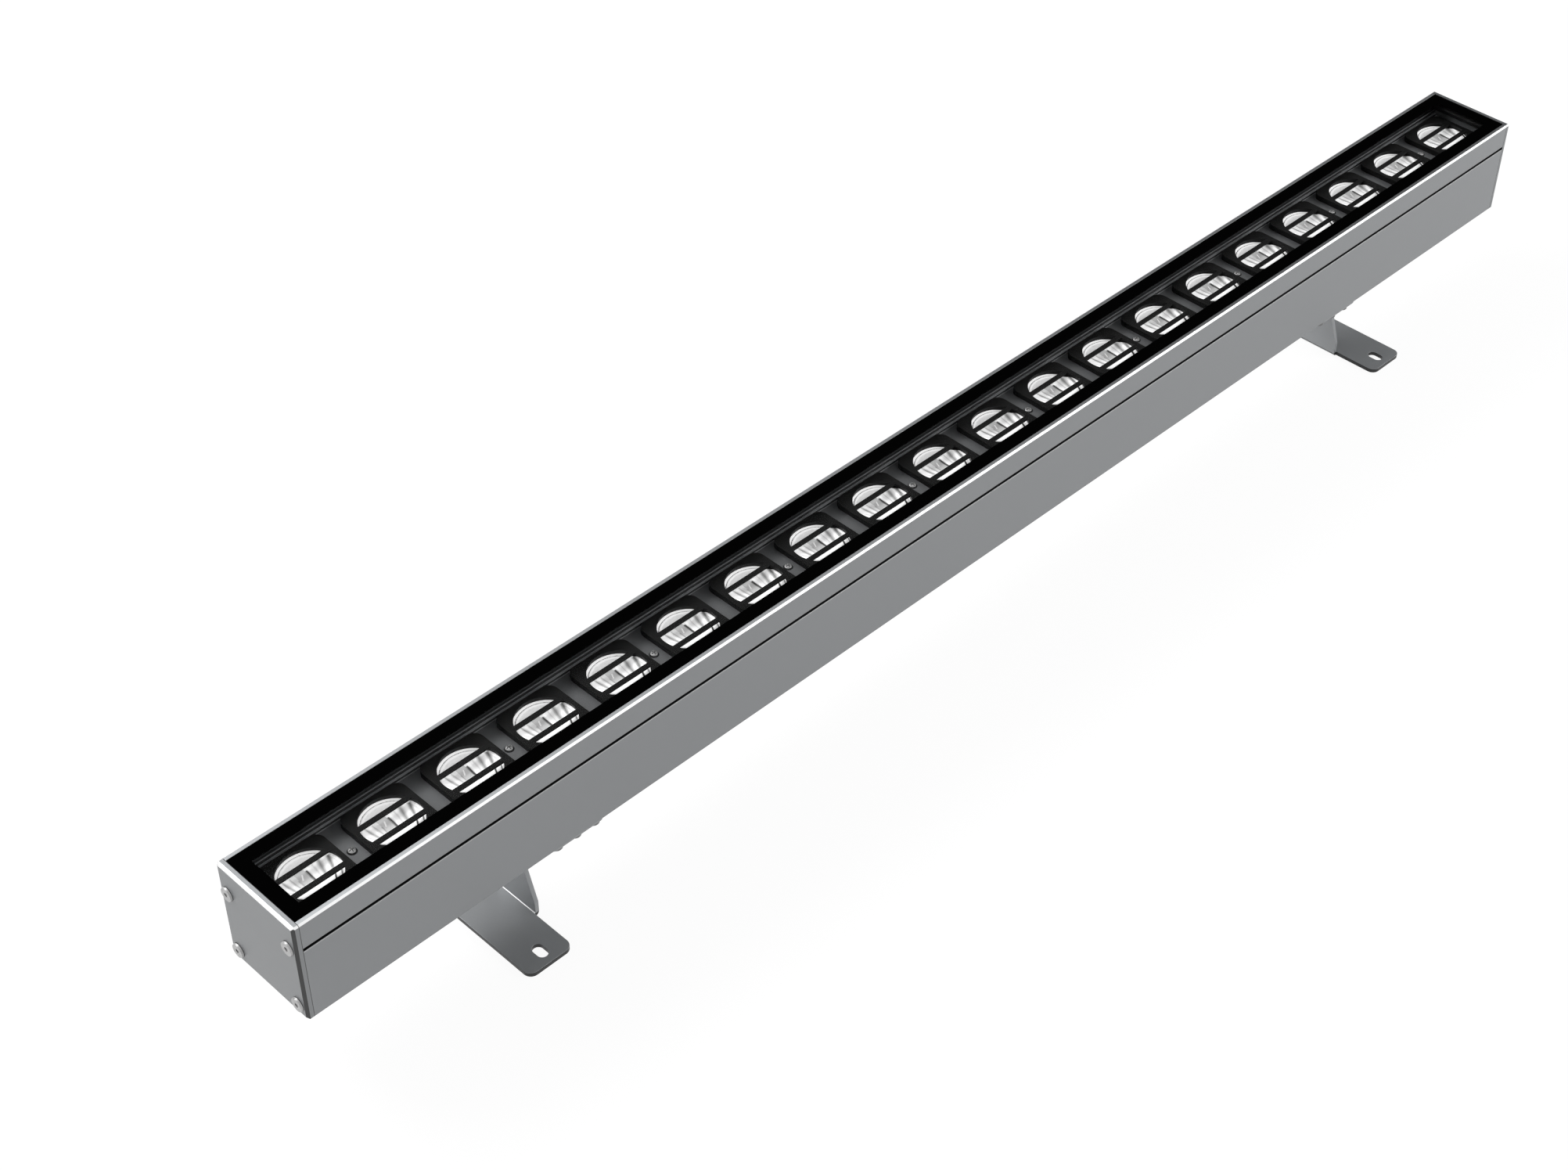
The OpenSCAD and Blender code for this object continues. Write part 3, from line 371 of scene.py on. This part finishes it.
# A painted dark reflection darkens the upright corner chamfers.
corner_painted_reflection = (lengthwise * sideways).above(slanted, facing_soft)
# Painted shade darkens the cap's inner face.
cap_inner_painted_shade = (housing_high.x + cap_lap - abs(along)).above(0, 2 * skin)
# The cap's top carries a painted reflection, lighter on the left cap than on the right.
rim_painted_reflection = cap_paint.blend(along.above(rim_left_x, cap_fade_l), grey(168, cool), grey(104, cool))
tint = cap_paint.blend(upright.above(flat, facing_soft), cap_paint.tint, rim_painted_reflection)
tint = cap_paint.blend(chamfer_painted_highlight * chamfer_highlight_share, tint, grey(250))
tint = cap_paint.blend(cap_inner_painted_shade, tint, grey(18))
cap_paint.surface["Base Color"] = cap_paint.blend(corner_painted_reflection * corner_reflection_share, tint, grey(40))
dress(close(cap_paint), "end_cap_left", "end_cap_right")

rubber = coated("black_rubber", grey(22), 0.0, 0.75, edge=0.0, bump=0.2, specular=0.3)
dress(close(rubber), "end_gasket_left", "end_gasket_right", "glass_gasket", "gland_seal")

cap_head_top_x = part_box("end_cap_screws")[1].x
cap_socket_depth = 0.0009
cap_socket_soft = 0.0003
cap_steel = coated("cap_screw_steel", grey(182), 0.5, 0.45, edge_colour=grey(215), edge_width=0.0003)
# Painted shade darkens the hex socket.
socket_painted_shade = cap_head_top_x - cap_socket_depth - abs(at(cap_steel, "X"))
socket_painted_shade = socket_painted_shade.above(0, cap_socket_soft)
cap_steel.surface["Base Color"] = cap_steel.blend(socket_painted_shade, cap_steel.tint, grey(30))
dress(close(cap_steel), "end_cap_screws")

# The glass is one clear pane that lies on a rubber seal, flush with the rim. A wide black border
# is fired onto its edge and hides the seal.
glass_colour = (0.11, 0.12, 0.12, 1)
glass_rough = 0.01
sheen_share = 0.5
smudge_share = 0.006
smudge_rough = 0.03

pane = bpy.data.materials.new("clear_pane")
pane.use_nodes = True
glass = Shader(pane.node_tree)
glass_place = glass.node("ShaderNodeTexCoord", {}, {}, out="Object")
smudge = glass.node("ShaderNodeTexNoise", {}, {"Vector": glass_place, "Scale": 9.0, "Detail": 4.0})
sheen = glass.node("ShaderNodeFresnel", {}, {"IOR": 1.5})
outside = 1 - glass.node("ShaderNodeNewGeometry", {}, {}, out="Backfacing")
glass_alpha = (sheen * sheen_share + smudge * smudge_share) * outside
glass_coat = glass.node("ShaderNodeBsdfPrincipled", {}, {
    "Base Color": glass_colour, "Metallic": 1.0,
    "Roughness": smudge * smudge_rough + glass_rough, "Alpha": glass_alpha})
glass.node("ShaderNodeOutputMaterial", {}, {"Surface": glass_coat})
dress(pane, "glass_cover")

border_ink = coated("black_print", grey(3), 0.0, 0.3, edge=0.0, blotch=0.2, specular=0.0, bump=0.01)
dress(close(border_ink), "glass_border")

# The chassis plate is a dark grey sheet tray under the optics, with upturned edges. Small cross
# heads fix it to brass spacers on the web below.
tray_half_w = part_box("chassis_plate")[1].y
fold_w = 0.0031
fold_facing = 0.7
fold_soft = 0.1
side_facing = 0.5
side_soft = 0.2
tray = coated("dark_plate", grey(104, cool), 0.35, 0.42, edge_colour=grey(170), edge=0.1)
# A painted highlight lightens the tops of the upturned edges.
fold_painted_highlight = (abs(at(tray, "Y")) - tray_half_w + fold_w).above(0, 2 * skin)
fold_painted_highlight = fold_painted_highlight * facing(tray, "Z").above(fold_facing, fold_soft)
# Painted shade darkens the faces that stand sideways.
side_painted_shade = facing(tray, "Y").above(side_facing, side_soft)
tint = tray.blend(side_painted_shade, tray.tint, grey(30))
tray.surface["Base Color"] = tray.blend(fold_painted_highlight, tint, grey(150, cool))
dress(close(tray), "chassis_plate")

tray_head_top_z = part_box("chassis_screws")[1].z
cross_depth = 0.0007
cross_facing = 0.93
cross_soft = 0.04
tray_screw = coated("dark_screw", grey(160), 0.5, 0.4, edge_colour=grey(190), edge=0.4,
                    edge_width=0.0002)
# Painted shade darkens the heads below their tops, most of all in the cross.
low_painted_shade = (tray_head_top_z - at(tray_screw, "Z")).above(cross_depth, skin)
cross_painted_shade = low_painted_shade * facing(tray_screw, "Z").above(cross_facing, cross_soft)
tint = tray_screw.blend(low_painted_shade, tray_screw.tint, grey(50))
tray_screw.surface["Base Color"] = tray_screw.blend(cross_painted_shade, tint, grey(10))
dress(close(tray_screw), "chassis_screws")

brass = coated("turned_brass", (0.6, 0.48, 0.24, 1), 0.9, 0.3, edge_colour=(0.9, 0.8, 0.5, 1))
dress(close(brass), "chassis_spacers")

# Twenty square holders of fine black plastic stand on the tray and clamp the optics. Two louvre
# bars cross each round opening.
holder_black = coated("black_plastic", grey(16), 0.0, 0.55, edge_colour=grey(30), edge=0.2, grain=0.01,
                      bump=0.015, specular=0.12)
dress(close(holder_black), "lens_holders")

# Each optic is a moulded acrylic cup, and its thin flange is held under the holder. All twenty are alike.
# The face is a shallow dish in a thin lip. Its bright look is painted: a painted reflection with soft
# rays, arcs, dark patches and the square of the light source, and a painted glow, though the optic is no
# lamp.
lens_names = sorted(name for name in nodes if name.startswith("lens_") and name != "lens_holders")
first_low, first_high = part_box(lens_names[0])
second_low, second_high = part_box(lens_names[1])
optic_count = len(lens_names)
optic_pitch = ((second_low + second_high) / 2 - (first_low + first_high) / 2).x
flange_r = (first_high.x - first_low.x) / 2
face_z = first_high.z
foot_z = first_low.z
face_r = flange_r - 0.0008
body_r = flange_r - 0.0016
flange_t = 0.0006
neck_h = 0.001
edge_round = 0.0001
collar_r = 0.0065
collar_h = 0.0024
pocket_r = 0.0045
pocket_h = 0.004
dish_depth = 0.0016
dish_power = 2.4
lip_r = 0.0158
lip_groove = 0.0004
lip_groove_in_r = lip_r + 0.0001
lip_groove_out_r = lip_r + 0.0004
lip_out_r = lip_r + 0.0006

optic_steps = 72
dish_rings = 14
profile = []
for ring in range(dish_rings):
    share = (ring + 1) / dish_rings
    profile.append((lip_r * share, face_z - dish_depth * (1 - share ** dish_power)))
profile += [
    (lip_groove_in_r, face_z - lip_groove),
    (lip_groove_out_r, face_z - lip_groove),
    (lip_out_r, face_z),
    (face_r, face_z),
    (flange_r - edge_round, face_z),
    (flange_r, face_z - edge_round),
    (flange_r, face_z - flange_t),
    (body_r, face_z - flange_t),
    (body_r, face_z - flange_t - neck_h),
    (collar_r, foot_z + collar_h),
    (collar_r, foot_z),
    (pocket_r, foot_z),
    (pocket_r, foot_z + pocket_h),
]
turn = [2 * math.pi * step / optic_steps for step in range(optic_steps)]
optic_shape = bmesh.new()
rings = []
for radius, ring_z in profile:
    spots = [(radius * math.cos(angle), radius * math.sin(angle), ring_z) for angle in turn]
    rings.append([optic_shape.verts.new(spot) for spot in spots])
for inner, outer in zip(rings, rings[1:]):
    for step in range(optic_steps):
        after = (step + 1) % optic_steps
        optic_shape.faces.new((inner[step], outer[step], outer[after], inner[after]))
face_pole = optic_shape.verts.new((0, 0, face_z - dish_depth))
pocket_pole = optic_shape.verts.new((0, 0, foot_z + pocket_h))
for step in range(optic_steps):
    after = (step + 1) % optic_steps
    optic_shape.faces.new((face_pole, rings[0][step], rings[0][after]))
    optic_shape.faces.new((pocket_pole, rings[-1][after], rings[-1][step]))
bmesh.ops.recalc_face_normals(optic_shape, faces=optic_shape.faces)
for face in optic_shape.faces:
    face.smooth = True
optic_mesh = bpy.data.meshes.new("optic_form")
optic_shape.to_mesh(optic_mesh)
optic_shape.free()
optic_form = bpy.data.objects.new("optic_form", optic_mesh)
bpy.context.collection.objects.link(optic_form)

mm = 1000
corner_turn = math.radians(40)
ray_drift = 5.5
ray_home_x = -0.42
ray_wobble = 0.8
ray_soft = 0.8

optic_paint = bpy.data.materials.new("optic_painted_light")
optic_paint.use_nodes = True
optic = Shader(optic_paint.node_tree)
optic.place = optic.node("ShaderNodeTexCoord", {}, {}, out="Object")
wobble = optic.node("ShaderNodeTexNoise", {}, {"Vector": optic.place, "Scale": 140.0, "Detail": 2.0})
ripple = optic.node("ShaderNodeTexNoise", {}, {"Vector": optic.place, "Scale": 900.0, "Detail": 2.0})
along = at(optic, "X")
true_x = ((along / optic_pitch).math("FRACT") - 0.5) * optic_pitch * mm
# The painted reflection drifts across the faces along the bar.
lens_x = true_x - (along - ray_home_x) * ray_drift
lens_y = at(optic, "Y") * mm
from_middle = (true_x * true_x + lens_y * lens_y).math("SQRT")
toward_corner = true_x * math.cos(corner_turn) + lens_y * math.sin(corner_turn)


def between(value, low, high, soft):
    """1 between two bounds, with soft ends."""
    return value.above(low - soft / 2, soft) * (1 - value.above(high - soft / 2, soft))


def ray(middle_x, lean, half_width, low, high):
    """A soft line of painted reflection across the face that leans as it goes back, in millimetres."""
    middle = lens_y * lean + middle_x + (wobble - 0.5) * ray_wobble
    return (1 - abs(lens_x - middle) / half_width).limited() * between(lens_y, low, high, ray_soft)


# Left, right and softness, front, back and softness of each field of painted reflection on the face, in
# millimetres, and its strength
fields = [
    (-7.6, -4.2, 0.8, -1.4, 8.6, 0.8, -0.12),
    (-4.2, 1.3, 0.4, -1.2, 8.6, 0.6, -0.28),
    (-20.0, -11.6, 1.2, -4.4, 9.0, 0.5, 0.3),
]
# Front, back, softness and strength of each band of painted reflection across the whole face
bands = [
    (-6.0, -1.3, 0.9, 0.15),
    (-20.0, -4.4, 0.5, 0.35),
]
# Place, lean, half width, front end, back end and strength of each painted ray, with dark ones below 0
rays = [
    (-10.0, -0.23, 1.3, -2.2, 9.0, -0.42),
    (-12.8, -0.62, 0.8, -3.5, 1.8, -0.60),
    (-6.6, -0.1, 0.7, -2.2, 7.0, -0.20),
    (-4.4, 0.0, 0.6, -1.4, 3.2, -0.30),
    (1.75, 0.02, 1.0, -1.6, 6.2, -0.95),
    (5.4, 0.12, 0.7, -2.4, 7.5, -0.20),
    (8.1, 0.24, 1.7, -2.6, 9.0, -0.50),
    (12.8, 0.33, 1.5, -2.6, 6.0, -0.62),
    (13.3, 0.5, 1.0, -12.0, -5.0, -1.5),
    (16.9, 0.5, 0.8, -12.0, -5.0, -1.0),
    (-15.3, -0.6, 0.6, -12.0, -5.0, -0.8),
    (-3.4, 0.42, 0.5, 2.0, 5.2, 0.5),
    (3.1, 0.05, 0.9, -2.0, 7.0, 0.35),
    (-8.0, -0.2, 1.0, -3.0, 6.0, 0.2),
    (10.8, 0.30, 1.0, -2.6, 9.0, 0.2),
]
# Inner radius, outer radius, softness and strength of each painted arc in the field behind the back bar
arcs = [
    (14.3, 15.5, 0.4, 0.2),
    (16.1, 20.0, 0.3, 0.5),
    (15.55, 16.05, 0.3, -0.5),
]
base_level = 0.84
left_light_gain = 0.2
level_wobble = 0.08
back_field_y = 8.4
back_field_soft = 0.4
back_ripple = 0.2
back_shade = 0.03
arc_wobble = 0.9
corner_r = 14.8
corner_soft = 0.5
corner_left_slope = -2.4
corner_left_r = 1.4
corner_back_r = 1.55
corner_front_y = -3.5
corner_front_soft = 1.0
optic_rough = 0.35
optic_rough_wobble = 0.1
painted_glow_strength = 0.52

# The face's level is a painted reflection, brighter toward the left end, with its fields, bands, rays and
# arcs.
level = base_level + (along * -1).limited() * left_light_gain + (wobble - 0.5) * level_wobble
for left_x, right_x, x_soft, front_y, back_y, y_soft, rise in fields:
    in_field = between(lens_x, left_x, right_x, x_soft) * between(lens_y, front_y, back_y, y_soft)
    level = level + in_field * rise
for front_y, back_y, y_soft, rise in bands:
    level = level + between(lens_y, front_y, back_y, y_soft) * rise
for middle_x, lean, half_width, front_y, back_y, rise in rays:
    level = level + ray(middle_x, lean, half_width, front_y, back_y) * rise
back_field = lens_y.above(back_field_y, back_field_soft)
level = level + back_field * ((ripple - 0.5) * back_ripple - back_shade)
arc_r = from_middle + (ripple - 0.5) * arc_wobble
for inner_r, outer_r, soft, rise in arcs:
    level = level + back_field * between(arc_r, inner_r, outer_r, soft) * rise
# Painted shade darkens a patch toward the back right of each face.
corner_cut = (along * corner_left_slope).limited() * corner_left_r + corner_r
corner_cut = corner_cut + back_field * corner_back_r
optic_corner_painted_shade = (toward_corner - corner_cut).above(0, corner_soft)
optic_corner_painted_shade = optic_corner_painted_shade * lens_y.above(corner_front_y, corner_front_soft)
level = (level - optic_corner_painted_shade).limited()
painted_reflection_colour = optic.blend(level, grey(32), grey(240))
# The glow is painted light: the optic glows though it is no lamp.
painted_glow_colour = optic.blend(level * level, grey(0), grey(255))
optic_coat = optic.node("ShaderNodeBsdfPrincipled", {}, {
    "Base Color": painted_reflection_colour, "Metallic": 0.0,
    "Roughness": wobble * optic_rough_wobble + optic_rough,
    "Specular IOR Level": 0.25, "Emission Color": painted_glow_colour, "Emission Strength": painted_glow_strength})
optic.node("ShaderNodeOutputMaterial", {}, {"Surface": optic_coat})

row_tree = bpy.data.node_groups.new("optic_row", "GeometryNodeTree")
row_inputs = {}
for label, kind in (("Optic", "NodeSocketObject"), ("Count", "NodeSocketInt"),
                    ("Pitch", "NodeSocketFloat"), ("Finish", "NodeSocketMaterial")):
    row_inputs[label] = row_tree.interface.new_socket(label, in_out="INPUT", socket_type=kind).identifier
row_tree.interface.new_socket("Row", in_out="OUTPUT", socket_type="NodeSocketGeometry")


def grow(tree, kind, settings, sockets):
    """Adds one Geometry Nodes node with its settings and its values or links."""
    made = tree.nodes.new(kind)
    for name, value in settings.items():
        setattr(made, name, value)
    for key, value in sockets.items():
        if isinstance(value, bpy.types.NodeSocket):
            tree.links.new(value, made.inputs[key])
        else:
            made.inputs[key].default_value = value
    return made


given = grow(row_tree, "NodeGroupInput", {}, {}).outputs
span = grow(row_tree, "ShaderNodeMath", {"operation": "MULTIPLY"}, {0: given["Count"], 1: given["Pitch"]})
half_span = grow(row_tree, "ShaderNodeMath", {"operation": "MULTIPLY_ADD"},
                 {0: span.outputs[0], 1: -0.5, 2: 0.0})
half_step = grow(row_tree, "ShaderNodeMath", {"operation": "MULTIPLY_ADD"},
                 {0: given["Pitch"], 1: 0.5, 2: half_span.outputs[0]})
start = grow(row_tree, "ShaderNodeCombineXYZ", {}, {"X": half_step.outputs[0]})
step_on = grow(row_tree, "ShaderNodeCombineXYZ", {}, {"X": given["Pitch"]})
places = grow(row_tree, "GeometryNodeMeshLine", {"mode": "OFFSET"},
              {"Count": given["Count"], "Start Location": start.outputs[0], "Offset": step_on.outputs[0]})
form = grow(row_tree, "GeometryNodeObjectInfo", {}, {"Object": given["Optic"]})
copies = grow(row_tree, "GeometryNodeInstanceOnPoints", {},
              {"Points": places.outputs[0], "Instance": form.outputs["Geometry"]})
solid = grow(row_tree, "GeometryNodeRealizeInstances", {}, {"Geometry": copies.outputs[0]})
finished = grow(row_tree, "GeometryNodeSetMaterial", {},
                {"Geometry": solid.outputs[0], "Material": given["Finish"]})
grow(row_tree, "NodeGroupOutput", {}, {0: finished.outputs[0]})


def settle(name, tree, inputs, values):
    """Runs a tree with its input values and returns the plain mesh object that it makes."""
    maker = bpy.data.objects.new(name + "_maker", bpy.data.meshes.new(name + "_maker"))
    bpy.context.collection.objects.link(maker)
    modifier = maker.modifiers.new("tree", "NODES")
    modifier.node_group = tree
    for label, value in values.items():
        modifier[inputs[label]] = value
    graph = bpy.context.evaluated_depsgraph_get()
    mesh = bpy.data.meshes.new_from_object(maker.evaluated_get(graph))
    mesh.name = name
    maker.modifiers.remove(modifier)
    bpy.data.objects.remove(maker)
    piece = bpy.data.objects.new(name, mesh)
    bpy.context.collection.objects.link(piece)
    return piece


optics = settle("optic_row", row_tree, row_inputs,
                {"Optic": optic_form, "Count": optic_count, "Pitch": optic_pitch, "Finish": optic_paint})
bpy.data.objects.remove(optic_form)
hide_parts(*lens_names)
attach(optics, "bar")

# Five light boards in white mask lie on the housing's web, each with four yellow light sources.
# Small moulded plugs join one board to the next.
board_white = coated("white_mask", grey(225), 0.0, 0.35, edge=0.2, edge_colour=grey(190), coat=0.3)
dress(close(board_white), *(name for name in nodes if name.startswith("led_board_")))
source = coated("light_source", (0.75, 0.58, 0.16, 1), 0.0, 0.3, edge=0.0, coat=0.8, blotch=0.08)
dress(close(source), "led_chips")
plug_white = coated("moulded_white", grey(222, 0.02), 0.0, 0.5, edge=0.1, bump=0.05)
dress(close(plug_white), "board_links")

# The driver is an aluminium box on a soft thermal pad in the lower channel, wired to a terminal
# block by the gland. The block, the gland and the breather plug are dark nylon.
pad = coated("thermal_pad", (0.36, 0.28, 0.46, 1), 0.0, 0.8, edge=0.0, bump=0.1)
dress(close(pad), "driver_pad")
driver_skin = coated("mill_aluminium", grey(190), 0.9, 0.35, edge_colour=grey(225))
dress(close(driver_skin), "driver_case", "driver_lid")
mask_green = coated("green_mask", (0.03, 0.16, 0.07, 1), 0.0, 0.35, edge=0.1, coat=0.3)
dress(close(mask_green), "driver_board")
nylon = coated("dark_nylon", grey(52), 0.0, 0.5, edge_colour=grey(95), edge=0.4, bump=0.1)
dress(close(nylon), "terminal_block", "cable_gland", "gland_nut", "gland_locknut", "breather_plug")
brown = coated("brown_sleeve", (0.25, 0.08, 0.03, 1), 0.0, 0.5, edge=0.0)
dress(close(brown), "supply_leads")
red = coated("red_sleeve", (0.45, 0.04, 0.03, 1), 0.0, 0.5, edge=0.0)
dress(close(red), "output_leads")

# The hangers and feet are bent steel sheet in a darker coat. Grey cap heads hold a hanger under
# the housing, and its ear turns with friction on the ear of the foot, on a bright steel bolt.
sheet_t = 0.0025
bend_highlight_h = 0.0006
bend_facing = 0.15
bend_soft = 0.1
cut_facing = 0.3
cut_soft = 0.2
cut_shade_share = 0.95

bracket = coated("bracket_coat", grey(150, cool), 0.4, 0.38, edge_colour=grey(215), edge=0.2)
height = at(bracket, "Z")
upright = facing(bracket, "Z")
# A painted highlight lies along the inner bend between each ear and its plate.
bend_painted_highlight = between(height, sheet_t - skin, sheet_t + bend_highlight_h, skin)
bend_painted_highlight = bend_painted_highlight * (facing(bracket, "X") * upright).above(bend_facing, bend_soft)
# Painted shade darkens the upright cut edges of the lowest sheet.
cut_edge_painted_shade = 1 - upright.above(cut_facing, cut_soft)
cut_edge_painted_shade = cut_edge_painted_shade * (sheet_t + skin - height).above(0, skin)
tint = bracket.blend(cut_edge_painted_shade * cut_shade_share, bracket.tint, grey(12))
bracket.surface["Base Color"] = bracket.blend(bend_painted_highlight, tint, grey(250))
dress(close(bracket), "hanger_left", "hanger_right", "foot_left", "foot_right")

grey_steel = coated("grey_screw_steel", grey(120), 0.5, 0.4, edge_colour=grey(200), edge_width=0.0003)
dress(close(grey_steel), "hanger_screws")
screw_steel = coated("screw_steel", grey(196), 0.85, 0.3, edge_colour=grey(235), grain=0.05,
                     edge_width=0.0003)
dress(close(screw_steel), "pivot_bolts", "pivot_washers", "pivot_nuts")
